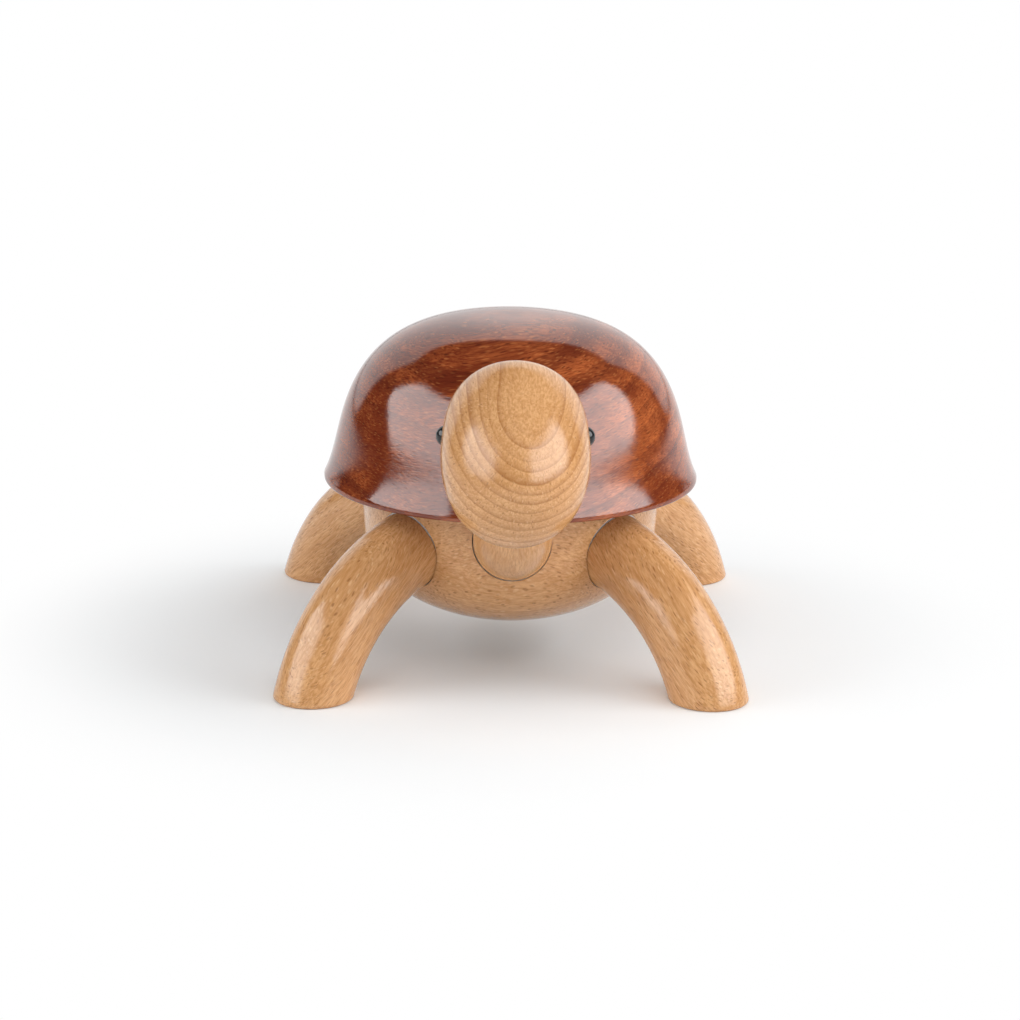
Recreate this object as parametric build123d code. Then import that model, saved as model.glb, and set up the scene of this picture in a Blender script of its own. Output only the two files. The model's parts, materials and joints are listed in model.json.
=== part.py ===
from build123d import *
import os
from math import acos, cos, degrees, exp, pi, radians, sin, tan

# A turtle figurine of turned and bent wood. A glossy dark shell caps a beech bowl, and four bent legs
# and a bent neck turn on studs through the bowl's wall. The head is a turned egg on top of the neck.
# Millimetres and degrees, +Z up, the face towards -Y, the floor at z = 0, the origin under the middle.

os.makedirs("parts", exist_ok=True)

overrun = 1.0            # how far every cut runs past the face that it opens
glue_gap = 0.05          # round each glued peg, stud, felt and bead
running_gap = 0.05       # round each stud or dowel that turns in its bore
seat_gap = 0.05          # between flat faces that turn on each other
blind_gap = 1.0          # left at the bottom of each blind hole
quarter_turn = 90
half_turn = 180

# Shell: a turned dome whose sides flare out to a thin lip
rim_radius = 46.9
rim_flare = 3.5          # how far the lip stands out beyond the line of the sides
dome_height = 40.2
dome_plan_power = 2.9
dome_height_power = 2.55
flare_fall = 7.0         # height over which the flare dies away
lip_height = 1.2
lip_round = 0.6
crown_wall = 8.0         # wood left above the hollow
dome_steps = 18

# Bowl: the turned body, with a straight band above a half-ellipsoid belly
bowl_top = 43.2          # height of the joint with the shell above the floor
rim_overhang = 9.3       # of the shell beyond the bowl
band_height = 13.5
band_taper = 0.8
belly_depth = 21.8
spigot_shoulder = 7.6    # flat of the joint outside the ring that centres the shell
spigot_height = 3.0
spigot_gap = 0.1
spigot_wall = 8.0        # from there in to the well that the nuts are reached through
well_depth = 21.2

# Bars: legs and neck are the same round stock, cut from turned rings
bar_radius = 9.5
bar_round = 0.6
foot_round = 0.9
recess_margin = 0.5      # of the flat-bottomed recess in the bowl round the end of each bar
leg_seat_inset = 2.8     # of the leg's end, in from the bowl's widest line
leg_rim_gap = 2.5        # from the top of the leg up to the joint with the shell
front_leg_angle = 45.0   # seen from above, between the cross axis and the leg
rear_leg_angle = 49.5
front_leg_slope = 15.0   # below level, where the leg leaves the bowl
rear_leg_slope = 4.0
front_bend_radius = 47.5
rear_bend_radius = 51.2
neck_seat_inset = 4.6
neck_rise = 1.7          # of the top of the neck above the joint
neck_slope = 15.0        # above level, where the neck leaves the bowl
neck_bend = 45.0
neck_run = 2.6           # straight stretch between the recess and the bend
notch_margin = 1.0       # round the neck, where the shell's edge is cut for it
notch_spread = 9.0       # half-angle of that cut

# Head: a turned egg, nose end forward and down
head_radius = 17.4
nose_length = 23.4       # from the egg's widest line to the tip of its nose
crown_length = 20.8      # and back to its crown
head_slope = 37.0
nose_power = 2.25
crown_power = 3.0        # the crown is blunter than an ellipse
crown_taper = 0.8        # and a little slimmer than the nose
head_steps = 10
head_rim_gap = 0.5       # seen from above, between the shell's edge and the egg's widest line
head_flat_inset = 3.4    # of the flat that sits on the neck, in from the egg's widest line
head_flat_gap = 0.3
head_flat_margin = 0.5   # of that flat beyond the neck
dowel_radius = 4.0
dowel_in_neck = 11.0
dowel_in_head = 10.0

# Eyes: black beads on short pins
eye_radius = 2.5
eye_inset = 1.4          # of each bead's middle, in from the egg's widest line
eye_back = 4.6           # behind the egg's middle, along its axis
eye_up = 0.4
eye_pin_radius = 0.8
eye_pin_length = 6.0

# Fittings: each bar turns on a stud, with a felt disc outside the bowl's wall and a nut inside it
felt_inset = 1.5         # of the disc's edge, in from the bar's side
felt_thickness = 0.8
felt_proud = 0.05        # of the disc above the flat round it
wall_at_seat = 9.0       # wood between the felt and the washer
stud_radius = 2.0
stud_in_bar = 15.0
stud_tail = 1.0
washer_radius = 4.5
washer_play = 0.15       # round the stud
washer_thickness = 0.8
washer_margin = 0.7      # round the washer in its recess
nut_across_flats = 7.0
nut_height = 5.0
nut_collar_radius = 2.9
nut_collar_height = 1.4

# What follows from these sizes
bowl_radius = rim_radius - rim_overhang
spigot_radius = bowl_radius - spigot_shoulder
well_radius = spigot_radius - spigot_wall
recess_radius = bar_radius + recess_margin
leg_seat_radius = bowl_radius - leg_seat_inset
leg_seat_height = bowl_top - bar_radius - leg_rim_gap
neck_seat_radius = bowl_radius - neck_seat_inset
neck_seat_height = bowl_top - bar_radius + neck_rise
head_flat_depth = head_radius - head_flat_inset
eye_spread = head_radius - eye_inset
felt_radius = bar_radius - felt_inset
felt_floor = seat_gap + felt_thickness         # from the bar's end in to the bottom of the felt
wall_face = felt_floor + wall_at_seat          # and in to the bowl's inner face
washer_face = wall_face + seat_gap
fittings_length = washer_thickness + nut_height + stud_tail

# The neck's bend is as wide as it takes to bring the head clear of the shell
neck_tilt = neck_slope + neck_bend
head_reach = rim_radius + head_radius + head_rim_gap
bend_reach = head_reach - neck_seat_radius - neck_run * cos(radians(neck_slope))
bend_reach -= (head_flat_depth + head_flat_gap) * cos(radians(neck_tilt))
neck_bend_radius = bend_reach / (sin(radians(neck_tilt)) - sin(radians(neck_slope)))

from_base = (Align.CENTER, Align.CENTER, Align.MIN)
from_top = (Align.CENTER, Align.CENTER, Align.MAX)


def dome_points(radius, height, flare):
    # Superellipse from the crown down to the rim, pushed outwards near the rim.
    points = []
    for step in range(dome_steps + 1):
        turn = pi / 2 * step / dome_steps
        share = sin(turn) ** (2 / dome_plan_power)
        rise = height * max(cos(turn), 0) ** (2 / dome_height_power)
        points.append((share * (radius + flare * exp(-rise / flare_fall)), rise))
    return points


def dome_curve(radius, height, flare):
    rim_run = Vector(flare / flare_fall, -1)
    return Spline(*dome_points(radius, height, flare), tangents=[Vector(1, 0), rim_run])


def turned(profile):
    # A closed outline in the radius-height plane, spun about the upright axis as two half turns.
    half = revolve(Plane.XZ * make_face(profile), axis=Axis.Z, revolution_arc=half_turn)
    return half.fuse(Rot(0, 0, half_turn) * half)


def bar_seat(plan_angle, seat_radius, seat_height, slope, bends_up):
    # Frame at the end of a bar: z runs out along the bar, and x points to the inside of its bend.
    side = 1 if bends_up else -1
    out = Vector(cos(radians(plan_angle)), sin(radians(plan_angle)), 0)
    axis = out * cos(radians(slope)) + Vector(0, 0, side * sin(radians(slope)))
    inside = Vector(0, 0, side * cos(radians(slope))) - out * sin(radians(slope))
    origin = out * seat_radius + Vector(0, 0, seat_height)
    return Plane(origin=origin, x_dir=inside, z_dir=axis)


def bent_bar(bend_radius, bend):
    end_face = Rot(0, 0, quarter_turn) * Circle(bar_radius)
    return revolve(end_face, axis=Axis((bend_radius, 0, 0), (0, 1, 0)), revolution_arc=bend)


def stud_hole():
    return Cylinder(stud_radius + glue_gap, stud_in_bar + blind_gap, align=from_base)


def leg_seat(plan_angle, slope):
    return bar_seat(plan_angle, leg_seat_radius, leg_seat_height, slope, False)


leg_seats = {
    "front_left": leg_seat(-front_leg_angle, front_leg_slope),
    "front_right": leg_seat(half_turn + front_leg_angle, front_leg_slope),
    "rear_left": leg_seat(rear_leg_angle, rear_leg_slope),
    "rear_right": leg_seat(half_turn - rear_leg_angle, rear_leg_slope),
}
neck_seat = bar_seat(-quarter_turn, neck_seat_radius, neck_seat_height, neck_slope, True)

# The neck's far end, where the head sits, and the head's own frame with z towards the nose
bend_middle = neck_seat * Pos(neck_bend_radius, 0, neck_run)
neck_end = bend_middle * Rot(0, neck_bend, 0) * Pos(-neck_bend_radius, 0, 0)
head_centre = (neck_end * Pos(0, 0, head_flat_depth + head_flat_gap)).position
head_frame = Plane(
    origin=head_centre,
    x_dir=(1, 0, 0),
    z_dir=(0, -cos(radians(head_slope)), -sin(radians(head_slope))),
)


def make_shell():
    outside = dome_curve(rim_radius - rim_flare, dome_height, rim_flare)
    hollow_radius = spigot_radius + spigot_gap
    hollow = dome_curve(hollow_radius, dome_height - crown_wall, 0)
    profile = [
        outside,
        Line((rim_radius, 0), (rim_radius, lip_round - lip_height)),
        RadiusArc((rim_radius, lip_round - lip_height), (rim_radius - lip_round, -lip_height), lip_round),
        Polyline((rim_radius - lip_round, -lip_height), (hollow_radius, -lip_height), (hollow_radius, 0)),
        hollow,
        Line((0, dome_height - crown_wall), (0, dome_height)),
    ]
    shell = Pos(0, 0, bowl_top + lip_height) * turned(profile)
    notch_radius = bar_radius + notch_margin
    notch_end = notch_radius + rim_radius * tan(radians(notch_spread))
    notch = Cone(notch_radius, notch_end, rim_radius, align=from_base)
    return shell.cut(neck_seat * Pos(0, 0, -felt_floor) * notch)


def make_bowl():
    low_radius = bowl_radius - band_taper
    band_foot = bowl_top - band_height
    rim_top = bowl_top + spigot_height
    ellipse = (low_radius, belly_depth)
    profile = [
        EllipticalCenterArc((0, band_foot), *ellipse, start_angle=-quarter_turn, arc_size=quarter_turn),
        Polyline(
            (low_radius, band_foot),
            (bowl_radius, bowl_top),
            (spigot_radius, bowl_top),
            (spigot_radius, rim_top),
            (well_radius, rim_top),
            (well_radius, bowl_top - well_depth),
            (0, bowl_top - well_depth),
            (0, band_foot - belly_depth),
        ),
    ]
    bowl = turned(profile)
    recess = Pos(0, 0, -seat_gap - felt_proud) * Cylinder(recess_radius, rim_radius, align=from_base)
    pocket = Pos(0, 0, -felt_floor) * Cylinder(felt_radius + glue_gap, rim_radius, align=from_base)
    bore = Cylinder(stud_radius + running_gap, wall_face + overrun, align=from_top)
    nut_side = Cylinder(washer_radius + washer_margin, fittings_length + seat_gap + overrun, align=from_top)
    for seat in [*leg_seats.values(), neck_seat]:
        bowl = bowl.cut(seat * (recess + pocket + bore + Pos(0, 0, -wall_face) * nut_side))
    return bowl


def make_leg(seat, slope, bend_radius):
    # The bend runs on past the floor, and the foot is then cut off level with it.
    foot_turn = degrees(acos(cos(radians(slope)) - leg_seat_height / bend_radius)) - slope
    past_floor = degrees(2 * bar_radius / bend_radius)
    leg = bent_bar(bend_radius, foot_turn + past_floor)
    leg = fillet(leg.edges().group_by(Axis.Z)[0], bar_round) - stud_hole()
    leg = split(seat * leg, bisect_by=Plane.XY, keep=Keep.TOP)
    sole = leg.faces().group_by(Axis.Z)[0]
    return fillet(sole.edges(), foot_round)


def make_neck():
    straight = Cylinder(bar_radius, neck_run, align=from_base)
    straight = fillet(straight.edges().group_by(Axis.Z)[0], bar_round)
    bend = bent_bar(neck_bend_radius, neck_bend)
    bend = fillet(bend.edges().group_by(Axis.Z)[-1], bar_round)
    neck = neck_seat * (straight + Pos(0, 0, neck_run) * bend - stud_hole())
    dowel_hole = Pos(0, 0, overrun) * Cylinder(
        dowel_radius + glue_gap, dowel_in_neck + blind_gap + overrun, align=from_top
    )
    return neck - neck_end * dowel_hole


def egg_curve():
    # From the crown round to the tip of the nose, as points of radius and height.
    points = []
    for step in range(2 * head_steps + 1):
        turn = pi * step / (2 * head_steps)
        crown = step < head_steps
        power = crown_power if crown else nose_power
        along_share = abs(cos(turn)) ** (2 / power)
        across_share = max(sin(turn), 0) ** (2 / power)
        if crown:
            radius = head_radius - crown_taper * along_share
            points.append((radius * across_share, -crown_length * along_share))
        else:
            points.append((head_radius * across_share, nose_length * along_share))
    return Spline(*points, tangents=[Vector(1, 0), Vector(-1, 0)])


def eye_frames():
    # Frames on both sides of the head, z outwards along each eye's pin.
    frames = {}
    for side, direction in (("left", 1), ("right", -1)):
        spot = head_frame * Pos(direction * eye_spread, 0, -eye_back)
        origin = spot.position + Vector(0, -sin(radians(head_slope)), cos(radians(head_slope))) * eye_up
        frames[side] = Plane(origin=origin, x_dir=(0, 0, 1), z_dir=(direction, 0, 0))
    return frames


def eye_bead(gap):
    pin = Cylinder(eye_pin_radius + gap, eye_pin_length + gap, align=from_top)
    return Sphere(eye_radius + gap) + pin


def make_head():
    axis_line = Line((0, nose_length), (0, -crown_length))
    head = head_frame * turned([egg_curve(), axis_line])
    flat = Cylinder(bar_radius + head_flat_margin, head_radius, align=from_top)
    bore_length = dowel_in_head + blind_gap + overrun
    bore = Pos(0, 0, -overrun) * Cylinder(dowel_radius + running_gap, bore_length, align=from_base)
    head = head.cut(neck_end * Pos(0, 0, head_flat_gap) * (flat + bore))
    for frame in eye_frames().values():
        head = head.cut(frame * eye_bead(glue_gap))
    return head


def make_dowel():
    length = dowel_in_neck + dowel_in_head
    return neck_end * Pos(0, 0, -dowel_in_neck) * Cylinder(dowel_radius, length, align=from_base)


def make_stud(seat):
    inner = washer_face + fittings_length
    return seat * Pos(0, 0, -inner) * Cylinder(stud_radius, inner + stud_in_bar, align=from_base)


def make_felt(seat):
    disc = Cylinder(felt_radius, felt_thickness, align=from_top)
    hole = Cylinder(stud_radius + running_gap, 2 * (felt_thickness + overrun))
    return seat * Pos(0, 0, -seat_gap) * (disc - hole)


def make_washer(seat):
    disc = Cylinder(washer_radius, washer_thickness, align=from_top)
    hole = Cylinder(stud_radius + washer_play, 2 * (washer_thickness + overrun))
    return seat * Pos(0, 0, -washer_face) * (disc - hole)


def make_nut(seat):
    # A hexagon with a plain round collar at its free end.
    hexagon = RegularPolygon(nut_across_flats / 2, 6, major_radius=False)
    nut = extrude(hexagon, -(nut_height - nut_collar_height))
    nut += Cylinder(nut_collar_radius, nut_height, align=from_top)
    nut -= Cylinder(stud_radius + glue_gap, 2 * (nut_height + overrun))
    return seat * Pos(0, 0, -washer_face - washer_thickness) * nut


pieces = {
    "shell": make_shell(),
    "bowl": make_bowl(),
    "neck": make_neck(),
    "head": make_head(),
    "head_dowel": make_dowel(),
}
for side, frame in eye_frames().items():
    pieces["eye_" + side] = frame * eye_bead(0)
for name, seat in leg_seats.items():
    front = name.startswith("front")
    slope = front_leg_slope if front else rear_leg_slope
    bend_radius = front_bend_radius if front else rear_bend_radius
    pieces["leg_" + name] = make_leg(seat, slope, bend_radius)
for name, seat in {**leg_seats, "neck": neck_seat}.items():
    pieces["stud_" + name] = make_stud(seat)
    pieces["felt_" + name] = make_felt(seat)
    pieces["washer_" + name] = make_washer(seat)
    pieces["nut_" + name] = make_nut(seat)

# The origin goes under the middle of the whole figurine's box.
box = Compound(children=[piece.solid() for piece in pieces.values()]).bounding_box(optimal=True)
to_middle = Pos(-(box.min.X + box.max.X) / 2, -(box.min.Y + box.max.Y) / 2, 0)
for name, piece in pieces.items():
    export_step(to_middle * piece.solid(), f"parts/{name}.step")

for name, seat in {**leg_seats, "neck": neck_seat, "head": neck_end}.items():
    where = to_middle * seat if isinstance(seat, Location) else to_middle * seat.location
    along = Plane(where).z_dir
    print("axis", name, [round(v, 4) for v in where.position], [round(v, 5) for v in along])
print("box", box.min, box.max, "shell axis at y", round(to_middle.position.Y, 4))
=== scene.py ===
import json
import math

import bmesh
import bpy
from mathutils import Matrix, Vector


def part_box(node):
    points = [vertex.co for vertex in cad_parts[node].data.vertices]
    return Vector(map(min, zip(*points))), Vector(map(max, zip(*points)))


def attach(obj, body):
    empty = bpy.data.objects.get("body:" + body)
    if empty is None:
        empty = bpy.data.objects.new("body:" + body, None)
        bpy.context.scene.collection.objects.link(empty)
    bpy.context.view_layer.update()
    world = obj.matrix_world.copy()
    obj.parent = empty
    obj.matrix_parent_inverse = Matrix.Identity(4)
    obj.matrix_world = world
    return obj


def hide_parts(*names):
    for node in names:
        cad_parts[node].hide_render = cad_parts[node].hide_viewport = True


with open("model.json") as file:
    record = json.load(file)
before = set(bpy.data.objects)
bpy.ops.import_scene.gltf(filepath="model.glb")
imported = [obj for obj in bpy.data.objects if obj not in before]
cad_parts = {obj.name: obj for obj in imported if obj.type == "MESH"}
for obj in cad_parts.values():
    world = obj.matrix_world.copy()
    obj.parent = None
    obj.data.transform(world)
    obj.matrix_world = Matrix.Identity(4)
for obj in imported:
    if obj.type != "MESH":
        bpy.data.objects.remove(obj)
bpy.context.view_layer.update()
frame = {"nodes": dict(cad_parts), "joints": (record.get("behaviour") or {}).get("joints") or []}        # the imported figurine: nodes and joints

mm = 0.001
quarterTurn = math.pi / 2
joints = {joint["name"]: joint for joint in frame["joints"]}
legCorners = ("front_left", "front_right", "rear_left", "rear_right")


def addObject(name, data):
    obj = bpy.data.objects.new(name, data)
    bpy.context.scene.collection.objects.link(obj)
    return obj


# Small helpers for node trees

def emptyTree(owner):
    # The node tree of a new material or world, with nothing in it yet
    owner.use_nodes = True
    owner.node_tree.nodes.clear()
    return owner.node_tree


def addNode(tree, kind, **settings):
    node = tree.nodes.new(kind)
    for name, value in settings.items():
        setattr(node, name, value)
    return node


def join(tree, *pairs):
    for source, target in pairs:
        tree.links.new(source, target)


def feed(tree, value, socket):
    # Joins another socket to this one, or sets it to a plain value
    if isinstance(value, bpy.types.NodeSocket):
        tree.links.new(value, socket)
    else:
        socket.default_value = value


def mathNode(tree, operation, *values):
    node = addNode(tree, "ShaderNodeMath", operation=operation)
    for value, socket in zip(values, node.inputs):
        feed(tree, value, socket)
    return node.outputs[0]


def addInput(tree, name, kind, value=None):
    socket = tree.interface.new_socket(name, in_out="INPUT", socket_type=kind)
    if value is not None:
        socket.default_value = value


def addOutput(tree, name, kind):
    tree.interface.new_socket(name, in_out="OUTPUT", socket_type=kind)


def separate(tree, vector):
    node = addNode(tree, "ShaderNodeSeparateXYZ")
    join(tree, (vector, node.inputs[0]))
    return node.outputs


def combine(tree, *parts):
    node = addNode(tree, "ShaderNodeCombineXYZ")
    join(tree, *zip(parts, node.inputs))
    return node.outputs[0]


def smoothMask(tree, value, low, high):
    # 0 at low, 1 at high and smooth between them; low may be the greater of the two
    node = addNode(tree, "ShaderNodeMapRange", interpolation_type="SMOOTHSTEP")
    for name, given in (("Value", value), ("From Min", low), ("From Max", high)):
        feed(tree, given, node.inputs[name])
    return node.outputs["Result"]


def mixColour(tree, mask, first, second):
    # The node's colours are its inputs 6 and 7 and its output 2
    node = addNode(tree, "ShaderNodeMix", data_type="RGBA")
    feed(tree, mask, node.inputs[0])
    for index, colour in ((6, first), (7, second)):
        feed(tree, colour if isinstance(colour, bpy.types.NodeSocket) else (*colour, 1), node.inputs[index])
    return node.outputs[2]


def tint(tree, ground, colour, mask, share):
    return mixColour(tree, mathNode(tree, "MULTIPLY", mask, share), ground, colour)


def addNoise(tree, place, scale, detail=2, roughness=0.5, dimensions="3D"):
    node = addNode(tree, "ShaderNodeTexNoise", noise_dimensions=dimensions)
    join(tree, (place, node.inputs["W" if dimensions == "1D" else "Vector"]))
    for name, value in (("Scale", scale), ("Detail", detail), ("Roughness", roughness)):
        feed(tree, value, node.inputs[name])
    return node.outputs


def addCells(tree, place, scale):
    node = addNode(tree, "ShaderNodeTexVoronoi", feature="F1")
    node.inputs["Scale"].default_value = scale
    join(tree, (place, node.inputs["Vector"]))
    return node.outputs


# Lathe work: how finely it is drawn
turning = {
    "straight": (1.0, 10.0),       # bend radius and straight run, in metres, of a piece without a bend
    "weld": 0.002 * mm,            # points nearer than this become one
    "curveSteps": 900,             # of a quarter turn, before its points are spread evenly
    "edgeSteps": 8,                # of a rounded edge
    "cutterSegments": 160,
    "crease": 34.0,                # degrees between two faces, past which their edge is sharp
}


# Geometry Nodes: a profile spun like work on a lathe, then bent like a steamed bar

def makeTurnedTree():
    tree = bpy.data.node_groups.new("turnedAndBent", "GeometryNodeTree")
    bendRadius, straightRun = turning["straight"]
    addInput(tree, "Geometry", "NodeSocketGeometry")
    addInput(tree, "Segments", "NodeSocketInt", 192)
    addInput(tree, "Profile Points", "NodeSocketInt", 2)
    addInput(tree, "Bend Radius", "NodeSocketFloat", bendRadius)
    addInput(tree, "Straight Run", "NodeSocketFloat", straightRun)
    addInput(tree, "Material", "NodeSocketMaterial")
    addOutput(tree, "Geometry", "NodeSocketGeometry")
    given = addNode(tree, "NodeGroupInput").outputs

    # A grid with a column of points for each step of the spin, each a copy of the profile
    grid = addNode(tree, "GeometryNodeMeshGrid")
    join(tree, (mathNode(tree, "ADD", given["Segments"], 1), grid.inputs["Vertices X"]),
         (given["Profile Points"], grid.inputs["Vertices Y"]))
    index = addNode(tree, "GeometryNodeInputIndex").outputs[0]
    onProfile = mathNode(tree, "FLOORED_MODULO", index, given["Profile Points"])
    column = mathNode(tree, "FLOOR", mathNode(tree, "DIVIDE", index, given["Profile Points"]))
    sample = addNode(tree, "GeometryNodeSampleIndex", data_type="FLOAT_VECTOR")
    place = addNode(tree, "GeometryNodeInputPosition").outputs[0]
    join(tree, (given["Geometry"], sample.inputs["Geometry"]), (place, sample.inputs["Value"]),
         (onProfile, sample.inputs["Index"]))
    turn = mathNode(tree, "MULTIPLY", mathNode(tree, "DIVIDE", column, given["Segments"]), 2 * math.pi)
    spin = addNode(tree, "ShaderNodeVectorRotate", rotation_type="Z_AXIS")
    join(tree, (sample.outputs["Value"], spin.inputs["Vector"]), (turn, spin.inputs["Angle"]))
    shaped = addNode(tree, "GeometryNodeSetPosition")
    join(tree, (grid.outputs["Mesh"], shaped.inputs["Geometry"]), (spin.outputs[0], shaped.inputs["Position"]))
    merged = addNode(tree, "GeometryNodeMergeByDistance")
    merged.inputs["Distance"].default_value = turning["weld"]
    join(tree, (shaped.outputs[0], merged.inputs["Geometry"]))

    # What stands past the straight run follows an arc towards x
    x, y, z = separate(tree, place)
    past = mathNode(tree, "MAXIMUM", mathNode(tree, "SUBTRACT", z, given["Straight Run"]), 0)
    angle = mathNode(tree, "DIVIDE", past, given["Bend Radius"])
    arm = mathNode(tree, "SUBTRACT", given["Bend Radius"], x)
    inward = mathNode(tree, "MULTIPLY", arm, mathNode(tree, "COSINE", angle))
    along = mathNode(tree, "MULTIPLY", arm, mathNode(tree, "SINE", angle))
    straight = mathNode(tree, "MINIMUM", z, given["Straight Run"])
    bent = combine(tree, mathNode(tree, "SUBTRACT", given["Bend Radius"], inward), y,
                   mathNode(tree, "ADD", straight, along))
    placed = addNode(tree, "GeometryNodeSetPosition")
    join(tree, (merged.outputs[0], placed.inputs["Geometry"]), (bent, placed.inputs["Position"]))
    smooth = addNode(tree, "GeometryNodeSetShadeSmooth")
    real = addNode(tree, "GeometryNodeRealizeInstances")
    finish = addNode(tree, "GeometryNodeSetMaterial")
    out = addNode(tree, "NodeGroupOutput")
    join(tree, (placed.outputs[0], smooth.inputs["Geometry"]), (smooth.outputs[0], real.inputs[0]),
         (real.outputs[0], finish.inputs["Geometry"]), (given["Material"], finish.inputs["Material"]),
         (finish.outputs[0], out.inputs[0]))
    return tree


turnedTree = makeTurnedTree()


def turnPiece(name, profile, material, segments, bend=turning["straight"]):
    # Spins the (radius, height) profile and gives back a plain mesh object
    mesh = bpy.data.meshes.new(name + "Profile")
    edges = [(i, i + 1) for i in range(len(profile) - 1)]
    mesh.from_pydata([(radius, 0, height) for radius, height in profile], edges, [])
    piece = addObject(name, mesh)
    modifier = piece.modifiers.new("turned", "NODES")
    modifier.node_group = turnedTree
    bendRadius, straightRun = bend
    values = {"Segments": segments, "Profile Points": len(profile), "Bend Radius": bendRadius,
              "Straight Run": straightRun, "Material": material}
    for item in turnedTree.interface.items_tree:
        if item.item_type == "SOCKET" and item.in_out == "INPUT" and item.name in values:
            modifier[item.identifier] = values[item.name]
    makePlain(piece)
    return piece


def makePlain(obj):
    # Puts what the modifiers make into the object's own mesh, and takes them off
    graph = bpy.context.evaluated_depsgraph_get()
    mesh = bpy.data.meshes.new_from_object(obj.evaluated_get(graph), preserve_all_data_layers=True, depsgraph=graph)
    mesh.name = obj.name
    obj.modifiers.clear()
    obj.data = mesh


def faceOutwards(obj):
    work = bmesh.new()
    work.from_mesh(obj.data)
    bmesh.ops.recalc_face_normals(work, faces=work.faces)
    work.to_mesh(obj.data)
    work.free()


def makeCutter(name, profile, matrix):
    # A turned cutter with flat ends, on the z axis of the matrix
    closed = [(0, profile[0][1]), *profile, (0, profile[-1][1])]
    cutter = turnPiece(name, closed, None, turning["cutterSegments"])
    cutter.data.transform(matrix)
    faceOutwards(cutter)
    return cutter


def cutAway(obj, cutters):
    for cutter in cutters:
        modifier = obj.modifiers.new("cut", "BOOLEAN")
        modifier.operation = "DIFFERENCE"
        modifier.solver = "EXACT"
        modifier.object = cutter
    makePlain(obj)
    for cutter in cutters:
        bpy.data.objects.remove(cutter)


def softShade(obj):
    # Smooth faces, with a crisp edge where two of them meet at a clear angle
    for face in obj.data.polygons:
        face.use_smooth = True
    obj.data.set_sharp_from_angle(angle=math.radians(turning["crease"]))


def roundedEnd(radius, height, rounding):
    # Points of a rounded edge, from the flat end face out to the side
    points = []
    for step in range(turning["edgeSteps"] + 1):
        turn = quarterTurn * step / turning["edgeSteps"]
        points.append((radius - rounding + rounding * math.sin(turn), height + rounding - rounding * math.cos(turn)))
    return points


def evenOut(points, gap):
    # Spreads points evenly along a curve, so that its quads are all about as long
    lengths = [0]
    for a, b in zip(points, points[1:]):
        lengths.append(lengths[-1] + math.dist(a, b))
    count = max(2, round(lengths[-1] / gap))
    even = []
    index = 0
    for step in range(count + 1):
        goal = lengths[-1] * step / count
        while index < len(lengths) - 2 and lengths[index + 1] < goal:
            index += 1
        share = (goal - lengths[index]) / (lengths[index + 1] - lengths[index])
        a, b = points[index], points[index + 1]
        even.append((a[0] + (b[0] - a[0]) * share, a[1] + (b[1] - a[1]) * share))
    return even


def seatFrame(jointName, body, bendsUp):
    # Matrix of a bar's seat: z out along the bar, x to the inside of its bend
    joint = joints[jointName]
    origin = Vector(joint["pos_m"])
    axis = Vector(joint["axis"]).normalized()
    if axis.dot(origin - body) < 0:
        axis = -axis
    rise = Vector((0, 0, 1 if bendsUp else -1))
    inside = (rise - axis * rise.dot(axis)).normalized()
    across = axis.cross(inside)
    return Matrix.Translation(origin) @ Matrix((inside, across, axis)).transposed().to_4x4()


# Shader groups shared by the two woods, and by every handled surface
woodInputs = {                     # millimetres, where a wood gives no value of its own
    "Ring Gap": 2.0,
    "Ring Waver": 1.0,
    "Calm Heart": 0.5,             # rings fade inside this radius
    "Ray Spread": 15.0,            # usual distance of the wood from the pith
    "Fleck Length": 2.4,
    "Fleck Width": 0.45,
    "Fleck Depth": 2.0,
    "Fleck Size": 0.4,             # share of its cell that a fleck fills
    "Streak Length": 4.5,
    "Streak Width": 0.42,
    "Streak Depth": 0.42,
}
woodPattern = {                    # scales are per millimetre, edges are where a mask is 0 and 1
    "swayScale": 0.045,            # of the slow bends in the fibre
    "scatterScale": 0.35,          # of the uneven gaps between rings
    "scatterDepth": 0.9,
    "lateRise": 2.2,               # power by which a ring darkens to its late line
    "lateEdges": (1.0, 0.86),
    "ringStrength": (0.7, 0.45),   # range and least, from ring to ring
    "calmCore": 0.4,               # share of the calm heart without any rings
    "fleckSets": ((0, 0.08), (7.3, 0.30)),   # dark, pale: shift of the cells, tone where flecks begin
    "fleckFull": 0.9,              # tone of a cell whose fleck is at its strongest
    "fleckCore": 0.35,             # share of a fleck at its full tone
    "streakNoise": (0.8, 4, 0.7),  # scale, detail, roughness
    "streakEdges": (0.34, 0.66),
    "driftNoise": (0.11, 4),
    "driftStretch": (1, 1, 0.3),
    "driftEdges": (0.36, 0.64),
    "streakRelief": 0.35,
    "fleckRelief": 0.4,
}
handling = {
    "waveSize": 3.0,               # millimetres
    "rubNoise": (0.12, 5),
    "rubEdges": (0.4, 0.75),
    "dustScale": 0.45,
    "dustEdges": (0.06, 0.02),
}


def startGroup(name, inputs, outputs):
    tree = bpy.data.node_groups.new(name, "ShaderNodeTree")
    addInput(tree, "Place", "NodeSocketVector")             # in metres
    for title, value in inputs.items():
        addInput(tree, title, "NodeSocketFloat", value)
    for title in outputs:
        addOutput(tree, title, "NodeSocketFloat")
    given = addNode(tree, "NodeGroupInput").outputs
    inMm = addNode(tree, "ShaderNodeVectorMath", operation="SCALE")
    inMm.inputs["Scale"].default_value = 1 / mm
    join(tree, (given["Place"], inMm.inputs[0]))
    return tree, given, inMm.outputs[0], addNode(tree, "NodeGroupOutput").inputs


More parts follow.
